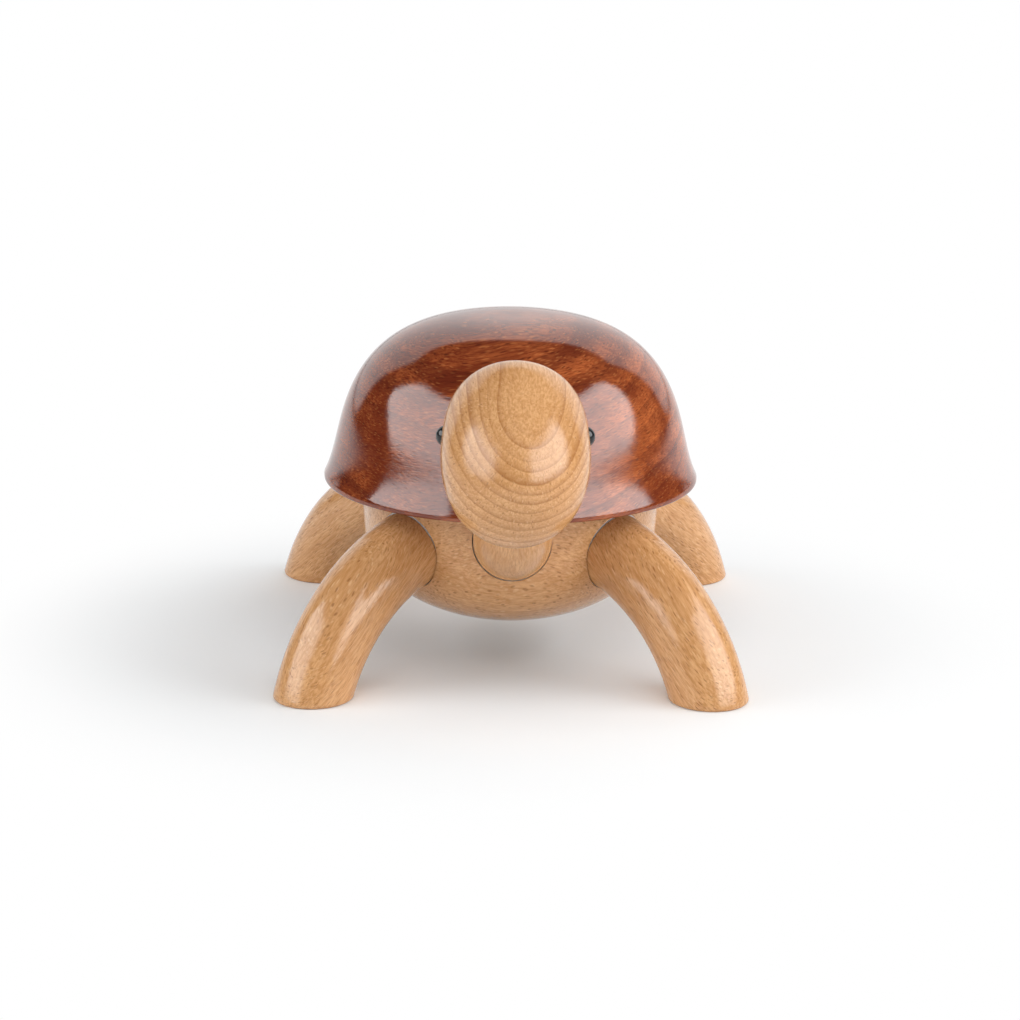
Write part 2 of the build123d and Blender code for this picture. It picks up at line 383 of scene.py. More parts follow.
def makeWoodFigure():
    # Reads a place whose z runs along the fibre, with the pith at x = y = 0
    names = ("Rings", "Flecks", "Pale Flecks", "Streaks", "Drift", "Height")
    tree, given, place, out = startGroup("woodFigure", woodInputs, names)
    swayed = addNode(tree, "ShaderNodeVectorMath", operation="MULTIPLY_ADD")
    join(tree, (addNoise(tree, place, woodPattern["swayScale"])["Color"], swayed.inputs[0]),
         (given["Ring Waver"], swayed.inputs[1]), (place, swayed.inputs[2]))
    across, depth, fibre = separate(tree, swayed.outputs[0])
    radius = mathNode(tree, "SQRT", mathNode(tree, "ADD", mathNode(tree, "MULTIPLY", across, across),
                                             mathNode(tree, "MULTIPLY", depth, depth)))
    angle = mathNode(tree, "ARCTAN2", across, depth)

    # Growth rings: pale early wood that darkens slowly to a thin late line
    uneven = addNoise(tree, radius, woodPattern["scatterScale"], 1, dimensions="1D")["Fac"]
    ringPlace = mathNode(tree, "ADD", mathNode(tree, "DIVIDE", radius, given["Ring Gap"]),
                         mathNode(tree, "MULTIPLY", uneven, woodPattern["scatterDepth"]))
    phase = mathNode(tree, "FRACT", ringPlace)
    late = mathNode(tree, "MULTIPLY", mathNode(tree, "POWER", phase, woodPattern["lateRise"]),
                    smoothMask(tree, phase, *woodPattern["lateEdges"]))
    ringTone = addNode(tree, "ShaderNodeTexWhiteNoise", noise_dimensions="1D")
    join(tree, (mathNode(tree, "FLOOR", ringPlace), ringTone.inputs["W"]))
    strength = mathNode(tree, "MULTIPLY_ADD", ringTone.outputs["Value"], *woodPattern["ringStrength"])
    calmCore = mathNode(tree, "MULTIPLY", given["Calm Heart"], woodPattern["calmCore"])
    calm = smoothMask(tree, radius, calmCore, given["Calm Heart"])
    rings = mathNode(tree, "MULTIPLY", mathNode(tree, "MULTIPLY", late, strength), calm)

    # Ray flecks: spindles along the fibre, thin around the trunk and deep towards the pith
    arc = mathNode(tree, "MULTIPLY", angle, given["Ray Spread"])
    spindles = []
    for shift, toneFrom in woodPattern["fleckSets"]:
        inward = mathNode(tree, "ADD", mathNode(tree, "DIVIDE", radius, given["Fleck Depth"]), shift)
        cells = addCells(tree, combine(tree, mathNode(tree, "DIVIDE", arc, given["Fleck Width"]), inward,
                                       mathNode(tree, "DIVIDE", fibre, given["Fleck Length"])), 1)
        cellTone = addNode(tree, "ShaderNodeSeparateColor")
        join(tree, (cells["Color"], cellTone.inputs[0]))
        core = mathNode(tree, "MULTIPLY", given["Fleck Size"], woodPattern["fleckCore"])
        spindle = smoothMask(tree, cells["Distance"], given["Fleck Size"], core)
        chosen = smoothMask(tree, cellTone.outputs[0], toneFrom, woodPattern["fleckFull"])
        spindles.append(mathNode(tree, "MULTIPLY", spindle, chosen))
    flecks, paleFlecks = spindles

    # Streaks: fibres a few millimetres long, and a slow drift of tone over the whole piece
    streakPlace = combine(tree, mathNode(tree, "DIVIDE", across, given["Streak Width"]),
                          mathNode(tree, "DIVIDE", depth, given["Streak Depth"]),
                          mathNode(tree, "DIVIDE", fibre, given["Streak Length"]))
    streakNoise = addNoise(tree, streakPlace, *woodPattern["streakNoise"])["Fac"]
    streaks = smoothMask(tree, streakNoise, *woodPattern["streakEdges"])
    driftPlace = addNode(tree, "ShaderNodeVectorMath", operation="MULTIPLY")
    driftPlace.inputs[1].default_value = woodPattern["driftStretch"]
    join(tree, (swayed.outputs[0], driftPlace.inputs[0]))
    driftNoise = addNoise(tree, driftPlace.outputs[0], *woodPattern["driftNoise"])["Fac"]
    drift = smoothMask(tree, driftNoise, *woodPattern["driftEdges"])
    height = mathNode(tree, "SUBTRACT", mathNode(tree, "MULTIPLY", streaks, woodPattern["streakRelief"]),
                      mathNode(tree, "MULTIPLY", flecks, woodPattern["fleckRelief"]))
    join(tree, *zip((rings, flecks, paleFlecks, streaks, drift, height), (out[name] for name in names)))
    return tree


def makeHandling():
    # Dust specks, faint rubbing marks and the slow wave of a brushed or sprayed coat
    tree, given, place, out = startGroup("handledSurface", {"Wave Size": handling["waveSize"]},
                                         ("Rubbing", "Dust", "Wave"))
    rubNoise = addNoise(tree, place, *handling["rubNoise"])["Fac"]
    dustCells = addCells(tree, place, handling["dustScale"])["Distance"]
    wave = addNoise(tree, place, mathNode(tree, "DIVIDE", 1, given["Wave Size"]), 1)["Fac"]
    join(tree, (smoothMask(tree, rubNoise, *handling["rubEdges"]), out["Rubbing"]),
         (smoothMask(tree, dustCells, *handling["dustEdges"]), out["Dust"]), (wave, out["Wave"]))
    return tree


woodFigure = makeWoodFigure()
handledSurface = makeHandling()
print("stage: shared node groups ready")


def startMaterial(name):
    material = bpy.data.materials.new(name)
    tree = emptyTree(material)
    shader = addNode(tree, "ShaderNodeBsdfPrincipled")
    join(tree, (shader.outputs[0], addNode(tree, "ShaderNodeOutputMaterial").inputs["Surface"]))
    return material, tree, shader, addNode(tree, "ShaderNodeTexCoord").outputs["Object"]


def placeGroup(tree, group, place, **values):
    node = addNode(tree, "ShaderNodeGroup")
    node.node_tree = group
    join(tree, (place, node.inputs["Place"]))
    for name, value in values.items():
        node.inputs[name].default_value = value
    return node.outputs


def layGrain(tree, place, pith, turn, **figure):
    # The wood's figure and its surface's, on a place turned so that z runs along the fibre
    mapping = addNode(tree, "ShaderNodeMapping", vector_type="TEXTURE")
    mapping.inputs["Location"].default_value = pith
    mapping.inputs["Rotation"].default_value = [math.radians(angle) for angle in turn]
    join(tree, (place, mapping.inputs["Vector"]))
    return (placeGroup(tree, woodFigure, mapping.outputs[0], **figure),
            placeGroup(tree, handledSurface, mapping.outputs[0]))


def addBump(tree, shader, height, distance):
    bump = addNode(tree, "ShaderNodeBump")
    bump.inputs["Distance"].default_value = distance
    join(tree, (height, bump.inputs["Height"]), (bump.outputs[0], shader.inputs["Normal"]))


beech = {
    "pale": (0.72, 0.405, 0.190),
    "warm": (0.49, 0.225, 0.075),
    "lateWood": (0.34, 0.130, 0.038),
    "fleck": (0.27, 0.100, 0.028),
    "flake": (0.80, 0.52, 0.29),
    "streakShare": 0.8,
    "driftShare": 0.28,
    "flakeShare": 0.5,
    "fleckShare": 0.72,
    "roughness": 0.105,
    "rubbedRougher": 0.08,
    "fleckRougher": 0.12,
    "waveRelief": 0.8,
    "reliefDepth": 0.03 * mm,
}


def makeBeech(name, pith=(0, 0, 0), turn=(0, 0, 0), ringDepth=0.5, **figure):
    # Clear-lacquered beech; the grain runs straight through each piece
    material, tree, shader, place = startMaterial(name)
    wood, use = layGrain(tree, place, pith, turn, **figure)
    colour = tint(tree, beech["pale"], beech["warm"], wood["Streaks"], beech["streakShare"])
    colour = tint(tree, colour, beech["warm"], wood["Drift"], beech["driftShare"])
    colour = tint(tree, colour, beech["lateWood"], wood["Rings"], ringDepth)
    colour = tint(tree, colour, beech["flake"], wood["Pale Flecks"], beech["flakeShare"])
    colour = tint(tree, colour, beech["fleck"], wood["Flecks"], beech["fleckShare"])
    rough = mathNode(tree, "MULTIPLY_ADD", use["Rubbing"], beech["rubbedRougher"], beech["roughness"])
    rough = mathNode(tree, "MULTIPLY_ADD", wood["Flecks"], beech["fleckRougher"], rough)
    join(tree, (colour, shader.inputs["Base Color"]), (rough, shader.inputs["Roughness"]))
    relief = mathNode(tree, "ADD", wood["Height"], mathNode(tree, "MULTIPLY", use["Wave"], beech["waveRelief"]))
    addBump(tree, shader, relief, beech["reliefDepth"])
    return material


hardwood = {
    "ground": (0.135, 0.020, 0.007),
    "bright": (0.48, 0.125, 0.036),
    "deep": (0.085, 0.012, 0.006),
    "pore": (0.06, 0.010, 0.005),
    "glint": (0.66, 0.24, 0.075),
    "paintedLightEdges": (-30 * mm, 44 * mm),        # across the piece, where painted light brightens the wood towards the right softbox
    "paintedLightShare": 0.42,
    "streakShare": 0.62,
    "driftShare": 0.75,
    "ringShare": 0.85,
    "glintShare": 0.28,
    "poreShare": 0.7,
    "roughness": 0.06,
    "rubbedRougher": 0.03,
    "dustRougher": 0.25,
    "gloss": 1.6,                            # index of refraction of the lacquer
    "reliefDepth": 0.010 * mm,
}


def makeHardwood(name, pith, turn, **figure):
    # High-gloss lacquer over reddish-brown wood with open pores
    material, tree, shader, place = startMaterial(name)
    wood, use = layGrain(tree, place, pith, turn, **figure)
    # Painted light: the wood grows lighter towards +x, the side of the stronger right softbox
    paintedLight = smoothMask(tree, separate(tree, place)["X"], *hardwood["paintedLightEdges"])
    tone = mathNode(tree, "MULTIPLY_ADD", wood["Streaks"], hardwood["streakShare"],
                    mathNode(tree, "MULTIPLY", paintedLight, hardwood["paintedLightShare"]))
    colour = mixColour(tree, tone, hardwood["ground"], hardwood["bright"])
    colour = tint(tree, colour, hardwood["ground"], wood["Drift"], hardwood["driftShare"])
    colour = tint(tree, colour, hardwood["deep"], wood["Rings"], hardwood["ringShare"])
    colour = tint(tree, colour, hardwood["glint"], wood["Pale Flecks"], hardwood["glintShare"])
    colour = tint(tree, colour, hardwood["pore"], wood["Flecks"], hardwood["poreShare"])
    rough = mathNode(tree, "MULTIPLY_ADD", use["Rubbing"], hardwood["rubbedRougher"], hardwood["roughness"])
    rough = mathNode(tree, "MULTIPLY_ADD", use["Dust"], hardwood["dustRougher"], rough)
    join(tree, (colour, shader.inputs["Base Color"]), (rough, shader.inputs["Roughness"]))
    addBump(tree, shader, mathNode(tree, "ADD", wood["Height"], use["Wave"]), hardwood["reliefDepth"])
    shader.inputs["IOR"].default_value = hardwood["gloss"]
    return material


blackBead = {
    "black": (0.006, 0.007, 0.009),
    "rubbed": (0.014, 0.015, 0.018),
    "dust": (0.2, 0.2, 0.2),
    "dustShare": 0.4,
    "roughness": 0.05,
    "rubbedRougher": 0.05,
}


def makeBead(name):
    # Polished black bead with a trace of dust
    material, tree, shader, place = startMaterial(name)
    use = placeGroup(tree, handledSurface, place)
    tone = mixColour(tree, use["Rubbing"], blackBead["black"], blackBead["rubbed"])
    colour = tint(tree, tone, blackBead["dust"], use["Dust"], blackBead["dustShare"])
    rough = mathNode(tree, "MULTIPLY_ADD", use["Rubbing"], blackBead["rubbedRougher"], blackBead["roughness"])
    join(tree, (colour, shader.inputs["Base Color"]), (rough, shader.inputs["Roughness"]))
    return material


zincSteel = {
    "bright": (0.56, 0.56, 0.57),
    "rubbed": (0.42, 0.42, 0.43),
    "grainScale": 2600,            # per metre
    "roughness": 0.2,
    "grainRougher": 0.2,
    "grainDepth": 0.01 * mm,
}


def makeSteel(name):
    # Zinc-plated steel with a fine grain
    material, tree, shader, place = startMaterial(name)
    use = placeGroup(tree, handledSurface, place)
    grain = addNoise(tree, place, zincSteel["grainScale"])["Fac"]
    colour = mixColour(tree, use["Rubbing"], zincSteel["bright"], zincSteel["rubbed"])
    rough = mathNode(tree, "MULTIPLY_ADD", grain, zincSteel["grainRougher"], zincSteel["roughness"])
    join(tree, (colour, shader.inputs["Base Color"]), (rough, shader.inputs["Roughness"]))
    shader.inputs["Metallic"].default_value = 1
    addBump(tree, shader, grain, zincSteel["grainDepth"])
    return material


brownFelt = {
    "dark": (0.16, 0.11, 0.07),
    "light": (0.36, 0.27, 0.18),
    "fuzzNoise": (3500, 5),        # scale per metre, and detail
    "roughness": 0.95,
    "sheen": 0.3,
    "fuzzDepth": 0.12 * mm,
}


def makeFelt(name):
    # Brown wool felt
    material, tree, shader, place = startMaterial(name)
    fuzz = addNoise(tree, place, *brownFelt["fuzzNoise"])["Fac"]
    join(tree, (mixColour(tree, fuzz, brownFelt["dark"], brownFelt["light"]), shader.inputs["Base Color"]))
    shader.inputs["Roughness"].default_value = brownFelt["roughness"]
    shader.inputs["Sheen Weight"].default_value = brownFelt["sheen"]
    addBump(tree, shader, fuzz, brownFelt["fuzzDepth"])
    return material


# The fixings inside keep their CAD shapes; each takes a finish by the start of its name
steel = makeSteel("zincSteel")
fixings = {"stud": steel, "washer": steel, "nut": steel, "felt": makeFelt("brownFelt"),
           "head_dowel": makeBeech("dowelBeech")}
for name, node in frame["nodes"].items():
    for start, material in fixings.items():
        if name.startswith(start):
            node.data.materials.clear()
            node.data.materials.append(material)
print("stage: materials ready")


# Shell: the turned dome with its flared lip, hollow over the bowl's spigot
shell = {
    "rimRadius": 46.9 * mm,
    "domeRadius": 43.4 * mm,
    "domeHeight": 40.2 * mm,
    "planPower": 2.9,
    "heightPower": 2.55,
    "flareFall": 7.0 * mm,
    "lipHeight": 1.2 * mm,
    "lipRound": 0.6 * mm,
    "crownWall": 8.0 * mm,
    "hollowRadius": 30.1 * mm,
    "restHeight": 43.2 * mm,
    "notchRadius": 10.5 * mm,
    "notchStart": -0.85 * mm,
    "notchSpread": 9.0,            # degrees
    "segments": 288,
    "outsideGap": 0.75 * mm,       # from point to point of the profile
    "insideGap": 1.5 * mm,
}
bodyAxis = Vector((0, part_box("shell")[1].y - shell["rimRadius"], 0))
neckSeat = seatFrame("neck_turn", bodyAxis, True)
legSeats = {corner: seatFrame(corner + "_leg_turn", bodyAxis, False) for corner in legCorners}
shellGrain = {
    "pith": (6 * mm, bodyAxis.y + 6 * mm, -62 * mm),
    "turn": (0, 84, 3),
    "Ring Gap": 4.5,
    "Ring Waver": 4.0,
    "Ray Spread": 70.0,
    "Fleck Length": 3.0,
    "Fleck Width": 0.8,
    "Fleck Depth": 0.26,
    "Fleck Size": 0.5,
    "Streak Length": 6.0,
    "Streak Width": 0.24,
    "Streak Depth": 1.0,
}


def domeProfile(radius, height, flare, base):
    # From the crown down to the rim, where the flare reaches furthest out
    steps = turning["curveSteps"]
    points = []
    for step in range(steps + 1):
        turn = quarterTurn * (step / steps)
        share = math.sin(turn) ** (2 / shell["planPower"])
        rise = height * max(math.cos(turn), 0) ** (2 / shell["heightPower"])
        points.append((share * (radius + flare * math.exp(-rise / shell["flareFall"])), base + rise))
    return points


def makeShell():
    flare = shell["rimRadius"] - shell["domeRadius"]
    base = shell["restHeight"] + shell["lipHeight"]
    outside = evenOut(domeProfile(shell["domeRadius"], shell["domeHeight"], flare, base), shell["outsideGap"])
    lip = roundedEnd(shell["rimRadius"], shell["restHeight"], shell["lipRound"])[::-1]
    under = evenOut([lip[-1], (shell["hollowRadius"], shell["restHeight"])], shell["insideGap"])[1:]
    hollow = domeProfile(shell["hollowRadius"], shell["domeHeight"] - shell["crownWall"], 0, base)
    inside = evenOut(hollow[::-1], shell["insideGap"])
    material = makeHardwood("redHardwood", **shellGrain)
    piece = turnPiece("shellTop", outside + lip + under + inside, material, shell["segments"])
    piece.data.transform(Matrix.Translation(bodyAxis))
    faceOutwards(piece)
    spread = shell["rimRadius"] * math.tan(math.radians(shell["notchSpread"]))
    notch = [(shell["notchRadius"], shell["notchStart"]),
             (shell["notchRadius"] + spread, shell["notchStart"] + shell["rimRadius"])]
    cutAway(piece, [makeCutter("neckNotch", notch, neckSeat)])
    softShade(piece)
    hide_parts("shell")
    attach(piece, "body")


makeShell()
print("stage: shell turned")


# Bowl: the turned body, with a flat recess round each bar's end
bowl = {
    "top": 43.2 * mm,
    "radius": 37.6 * mm,
    "bandHeight": 13.5 * mm,
    "bandTaper": 0.8 * mm,
    "bellyDepth": 21.8 * mm,
    "spigotRadius": 30.0 * mm,
    "spigotHeight": 3.0 * mm,
    "wellRadius": 22.0 * mm,
    "wellDepth": 21.2 * mm,
    "seat": [(9.75, 20.0), (9.75, -0.1), (8.05, -0.1), (8.05, -0.85), (2.05, -0.85), (2.05, -9.85), (5.2, -9.85),
             (5.2, -17.7)],        # radius and height in mm of the recess, felt pocket, bore and washer's place
    "segments": 288,
    "pointGap": 0.75 * mm,
    "grain": {
        "pith": (0, bodyAxis.y + 20 * mm, -26 * mm),
        "turn": (0, 90, 4),
        "ringDepth": 0.3,
        "Ring Gap": 3.2,
        "Ring Waver": 5.0,
        "Ray Spread": 60.0,
        "Fleck Length": 2.3,
        "Fleck Width": 0.42,
        "Fleck Depth": 1.5,
        "Fleck Size": 0.42,
    },
}


def makeBowl():
    low = bowl["radius"] - bowl["bandTaper"]
    foot = bowl["top"] - bowl["bandHeight"]
    belly = []
    for step in range(turning["curveSteps"] + 1):
        turn = quarterTurn * step / turning["curveSteps"]
        belly.append((low * math.sin(turn), foot - bowl["bellyDepth"] * math.cos(turn)))
    band = evenOut([(low, foot), (bowl["radius"], bowl["top"])], bowl["pointGap"])[1:]
    rimTop = bowl["top"] + bowl["spigotHeight"]
    floorHeight = bowl["top"] - bowl["wellDepth"]
    inner = [(bowl["spigotRadius"], bowl["top"]), (bowl["spigotRadius"], rimTop), (bowl["wellRadius"], rimTop),
             (bowl["wellRadius"], floorHeight), (0, floorHeight)]
    profile = evenOut(belly, bowl["pointGap"]) + band + inner
    piece = turnPiece("bowlBody", profile, makeBeech("bowlBeech", **bowl["grain"]), bowl["segments"])
    piece.data.transform(Matrix.Translation(bodyAxis))
    faceOutwards(piece)
    steps = [(radius * mm, height * mm) for radius, height in bowl["seat"]]
    cutAway(piece, [makeCutter("seatCut", steps, seat) for seat in (*legSeats.values(), neckSeat)])
    softShade(piece)
    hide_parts("bowl")
    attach(piece, "body")


makeBowl()
print("stage: bowl turned and recessed")


# Bars: the legs and the neck are one round stock, bent and rounded at the ends
bar = {
    "radius": 9.5 * mm,
    "endRound": 0.6 * mm,
    "footRound": 0.9 * mm,
    "frontBendRadius": 47.5 * mm,
    "rearBendRadius": 51.2 * mm,
    "legSpare": 2.2,               # radii of bar past the floor, before the foot is trimmed
    "neckBendRadius": 36.46 * mm,
    "neckBend": 45.0,
    "neckRun": 2.6 * mm,
    "boreRadius": 2.05 * mm,
    "boreDepth": 16.0 * mm,
    "dowelRadius": 4.05 * mm,
    "dowelDepth": 12.0 * mm,
    "cutPast": 1.0 * mm,
    "segments": 128,
    "pointGap": 0.8 * mm,
    "footSteps": 6,
    "soleInset": 0.97,             # share of the way to its middle that the sole's inner ring lies
    "legPith": (30, 14, -9),       # mm from the seat: across, aside, and further aside from leg to leg
    "neckPith": (3, -40, 26),      # mm from the neck's seat
    "neckTurn": (52, 0, 0),
}
barGrain = {
    "ringDepth": 0.25,
    "Ring Gap": 2.8,
    "Ring Waver": 3.0,
    "Ray Spread": 34.0,
    "Fleck Length": 3.0,
    "Fleck Width": 0.33,
    "Fleck Depth": 1.2,
    "Fleck Size": 0.42,
}


def boreStud(piece, seat):
    bore = [(bar["boreRadius"], -bar["cutPast"]), (bar["boreRadius"], bar["boreDepth"])]
    cutAway(piece, [makeCutter("studBore", bore, seat)])


def barProfile(length, roundFarEnd):
    # Near end face, its rounded edge, the side, and then a far end like it or a plain one
    nearEdge = roundedEnd(bar["radius"], 0, bar["endRound"])
    side = evenOut([nearEdge[-1], (bar["radius"], length - bar["endRound"])], bar["pointGap"])[1:]
    profile = [(0, 0)] + nearEdge + side
    if roundFarEnd:
        profile += [(radius, length - height) for radius, height in reversed(nearEdge)][1:]
    return profile + [(0, length)]


def growRing(work, ring):
    # Extrudes a ring of open edges; gives back the new ring, its points and their middle
    made = bmesh.ops.extrude_edge_only(work, edges=ring)["geom"]
    verts = [item for item in made if isinstance(item, bmesh.types.BMVert)]
    ring = [item for item in made if isinstance(item, bmesh.types.BMEdge) and item.is_boundary]
    return ring, verts, sum((v.co for v in verts), Vector()) / len(verts)


def trimFoot(obj):
    # Cuts the bar off level with the floor and rounds the edge of the sole
    work = bmesh.new()
    work.from_mesh(obj.data)
    rounding = bar["footRound"]
    everything = work.verts[:] + work.edges[:] + work.faces[:]
    bmesh.ops.bisect_plane(work, geom=everything, plane_co=(0, 0, rounding), plane_no=(0, 0, -1), clear_outer=True)
    ring = [edge for edge in work.edges if edge.is_boundary]
    turns = [quarterTurn * step / bar["footSteps"] for step in range(bar["footSteps"] + 1)]
    for previous, turn in zip(turns, turns[1:]):
        ring, verts, middle = growRing(work, ring)
        inward = rounding * (math.cos(previous) - math.cos(turn))
        for v in verts:
            away = v.co - middle
            away.z = 0
            v.co -= away.normalized() * inward
            v.co.z = rounding * (1 - math.sin(turn))
    ring, verts, middle = growRing(work, ring)
    for v in verts:
        v.co += (middle - v.co) * bar["soleInset"]
    bmesh.ops.contextual_create(work, geom=ring)
    bmesh.ops.recalc_face_normals(work, faces=work.faces)
    work.to_mesh(obj.data)
    work.free()


def makeLeg(corner, seed):
    seat = legSeats[corner]
    bendRadius = bar["frontBendRadius"] if corner.startswith("front") else bar["rearBendRadius"]
    slope = math.asin(-seat.col[2].z)
    footTurn = math.acos(math.cos(slope) - seat.translation.z / bendRadius) - slope
    length = bendRadius * footTurn + bar["legSpare"] * bar["radius"]
    foot = seat @ Vector((bendRadius * (1 - math.cos(footTurn)), 0, bendRadius * math.sin(footTurn)))
    fibre = (foot - seat.translation).to_track_quat("Z", "Y").to_euler()
    across, aside, further = bar["legPith"]
    pith = seat.translation + fibre.to_matrix() @ Vector((across * mm, (aside + further * seed) * mm, 0))
    material = makeBeech("legBeech" + str(seed), pith=pith, turn=[math.degrees(angle) for angle in fibre], **barGrain)
    piece = turnPiece("leg_" + corner, barProfile(length, False), material, bar["segments"], (bendRadius, 0))
    piece.data.transform(seat)
    trimFoot(piece)
    boreStud(piece, seat)
    softShade(piece)
    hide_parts("leg_" + corner)
    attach(piece, "leg_" + corner)


for seed, corner in enumerate(legCorners):
    makeLeg(corner, seed)
print("stage: legs bent and trimmed")


headAxis = Vector(joints["head_turn"]["axis"]).normalized()
neckTop = Vector(joints["head_turn"]["pos_m"])
neckEnd = Matrix.Translation(neckTop) @ headAxis.to_track_quat("Z", "Y").to_matrix().to_4x4()


def makeNeck():
    length = bar["neckRun"] + bar["neckBendRadius"] * math.radians(bar["neckBend"])
    pith = neckSeat.translation + Vector(bar["neckPith"]) * mm
    material = makeBeech("neckBeech", pith=pith, turn=bar["neckTurn"], **barGrain)
    piece = turnPiece("neckBar", barProfile(length, True), material, bar["segments"],
                      (bar["neckBendRadius"], bar["neckRun"]))
    piece.data.transform(neckSeat)
    faceOutwards(piece)
    boreStud(piece, neckSeat)
    bore = [(bar["dowelRadius"], -bar["dowelDepth"]), (bar["dowelRadius"], bar["cutPast"])]
    cutAway(piece, [makeCutter("dowelBore", bore, neckEnd)])
    softShade(piece)
    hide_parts("neck")
    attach(piece, "neck")


makeNeck()
print("stage: neck bent")


# Head: a turned egg with its nose end forward and down
head = {
    "radius": 17.4 * mm,
    "noseLength": 23.4 * mm,
    "crownLength": 20.8 * mm,
    "crownTaper": 0.8 * mm,
    "slope": 37.0,
    "nosePower": 2.25,
    "crownPower": 3.0,
    "flatDepth": 14.0 * mm,
    "flatGap": 0.3 * mm,
    "recessRadius": 10.0 * mm,
    "dowelRadius": 4.05 * mm,
    "dowelDepth": 11.0 * mm,
    "segments": 256,
    "pointGap": 0.5 * mm,
    "pith": (4.6, 0, 17.0),        # mm from the egg's middle
    "grain": {
        "turn": (97, 0, 0),
        "ringDepth": 0.95,
        "Ring Gap": 2.3,
        "Ring Waver": 2.4,
        "Calm Heart": 9.0,
        "Ray Spread": 14.0,
        "Fleck Length": 2.2,
        "Fleck Width": 0.36,
        "Fleck Depth": 1.6,
        "Fleck Size": 0.30,
    },
}
headCentre = neckTop + headAxis * (head["flatDepth"] + head["flatGap"])
headTurn = Matrix.Rotation(math.radians(90 + head["slope"]), 3, "X")


def eggProfile():
    # From the crown to the tip of the nose
    steps = turning["curveSteps"]
    points = []
    for step in range(2 * steps + 1):
        turn = math.pi * step / (2 * steps)
        toNose = step >= steps
        power = head["nosePower"] if toNose else head["crownPower"]
        along = abs(math.cos(turn)) ** (2 / power)
        across = max(math.sin(turn), 0) ** (2 / power)
        if toNose:
            points.append((head["radius"] * across, head["noseLength"] * along))
        else:
            points.append(((head["radius"] - head["crownTaper"] * along) * across, -head["crownLength"] * along))
    return evenOut(points, head["pointGap"])


def makeHead():
    material = makeBeech("headBeech", pith=headCentre + Vector(head["pith"]) * mm, **head["grain"])
    piece = turnPiece("headEgg", eggProfile(), material, head["segments"])
    piece.data.transform(Matrix.Translation(headCentre) @ headTurn.to_4x4())
    faceOutwards(piece)
    recess = [(head["recessRadius"], -head["radius"]), (head["recessRadius"], head["flatGap"])]
    bore = [(head["dowelRadius"], 0), (head["dowelRadius"], head["flatGap"] + head["dowelDepth"])]
    cutAway(piece, [makeCutter("neckRecess", recess, neckEnd), makeCutter("dowelBore", bore, neckEnd)])
    softShade(piece)
    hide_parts("head")
    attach(piece, "head")


# Eyes: round beads set into the sides of the egg
eye = {
    "radius": 2.5 * mm,
    "spread": 16.0 * mm,           # from the middle of the head
    "back": 4.6 * mm,
    "up": 0.4 * mm,
    "segments": 96,
    "steps": 48,                   # from pole to pole
}


def makeEyes():
    slope = math.radians(head["slope"])
    upwards = Vector((0, -math.sin(slope), math.cos(slope)))
    forwards = Vector((0, -math.cos(slope), -math.sin(slope)))
    turns = [math.pi * step / eye["steps"] for step in range(eye["steps"] + 1)]
    half = [(eye["radius"] * math.sin(turn), -eye["radius"] * math.cos(turn)) for turn in turns]
    bead = makeBead("blackBead")
    for side, direction in (("left", 1), ("right", -1)):
        middle = headCentre - forwards * eye["back"] + upwards * eye["up"] + Vector((direction * eye["spread"], 0, 0))
        piece = turnPiece("eye_" + side + "Bead", half, bead, eye["segments"])
        piece.data.transform(Matrix.Translation(middle))
        faceOutwards(piece)
        softShade(piece)
        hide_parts("eye_" + side)
        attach(piece, "head")


makeHead()
makeEyes()
print("stage: head and eyes turned")


# Studio: white surround, pale floor, a softbox on each side, a bright back wall and a dark room around them
studio = {
    "azimuth": -1.0,
    "elevation": 15.0,
    "distance": 0.8,
    "focal": 3160,              # pixels in the photograph's frame
    "frameWidth": 1020,
    "sensor": 36,
    "roll": 0.7,
    "aimHeight": 34.4 * mm,
    "surround": 0.22,
    "lamps": {                  # azimuth, elevation, distance, width, height, power
        "softboxRight": (74, 26, 1.0, 0.80, 0.65, 7.8),
        "softboxLeft": (-70, 26, 1.0, 0.75, 0.65, 4.6),
        "overhead": (5, 58, 1.2, 1.0, 0.8, 4.6),
        "lowFront": (0, 8, 1.2, 1.2, 0.4, 1.1),
        "backWall": (155, 26, 1.3, 2.2, 1.2, 9.0),
    },
}
floorTones = {
    "near": (0.72, 0.80, 0.86),    # painted shadow under the body: darker, and cooler against the wood's warm bounce
    "far": (0.885, 0.905, 0.915),
    "nearTo": 0.085,
    "fade": (0.065, 0.145),        # where the floor turns to plain white, for the camera and reflections
    "lift": 0.03,                  # share of plain white that they see in the floor close to the body
    "half": 6,
}
# What the gloss reflects: glow, front edge, and the rear edge as azimuths by elevation
cards = {
    "cardRight": (5.2, 25, [(7, 89), (12, 94), (18, 98), (27, 103), (36, 105), (44, 104), (50, 99)]),
    "cardLeft": (4.45, -38, [(7, -89), (11, -93), (17, -99), (22, -107), (29, -111), (39, -105), (47, -96)]),
    "cardBack": (1.05, 128, [(0, 232), (45, 232)]),
}
cardMaking = {
    "distance": 3.0,
    "steps": 80,
    "cornerPower": 9,              # the higher, the squarer a card's corners
    "softEdge": 0.09,              # share of a card's half width over which it fades
}
room = {
    "glow": 0.02,
    "distance": 6.0,
    "columns": 24,
    "rows": 16,
    "heights": (-6, 90),           # degrees of elevation
}
aimPoint = bodyAxis + Vector((0, 0, studio["aimHeight"]))


def fromAzimuth(azimuth, elevation, distance):
    a, e = math.radians(azimuth), math.radians(elevation)
    return aimPoint + Vector((math.sin(a) * math.cos(e), -math.cos(a) * math.cos(e), math.sin(e))) * distance


def placeAimed(obj, azimuth, elevation, distance):
    # Stands the camera or a lamp round the figurine, looking at its middle
    obj.location = fromAzimuth(azimuth, elevation, distance)
    obj.rotation_euler = (aimPoint - obj.location).to_track_quat("-Z", "Y").to_euler()


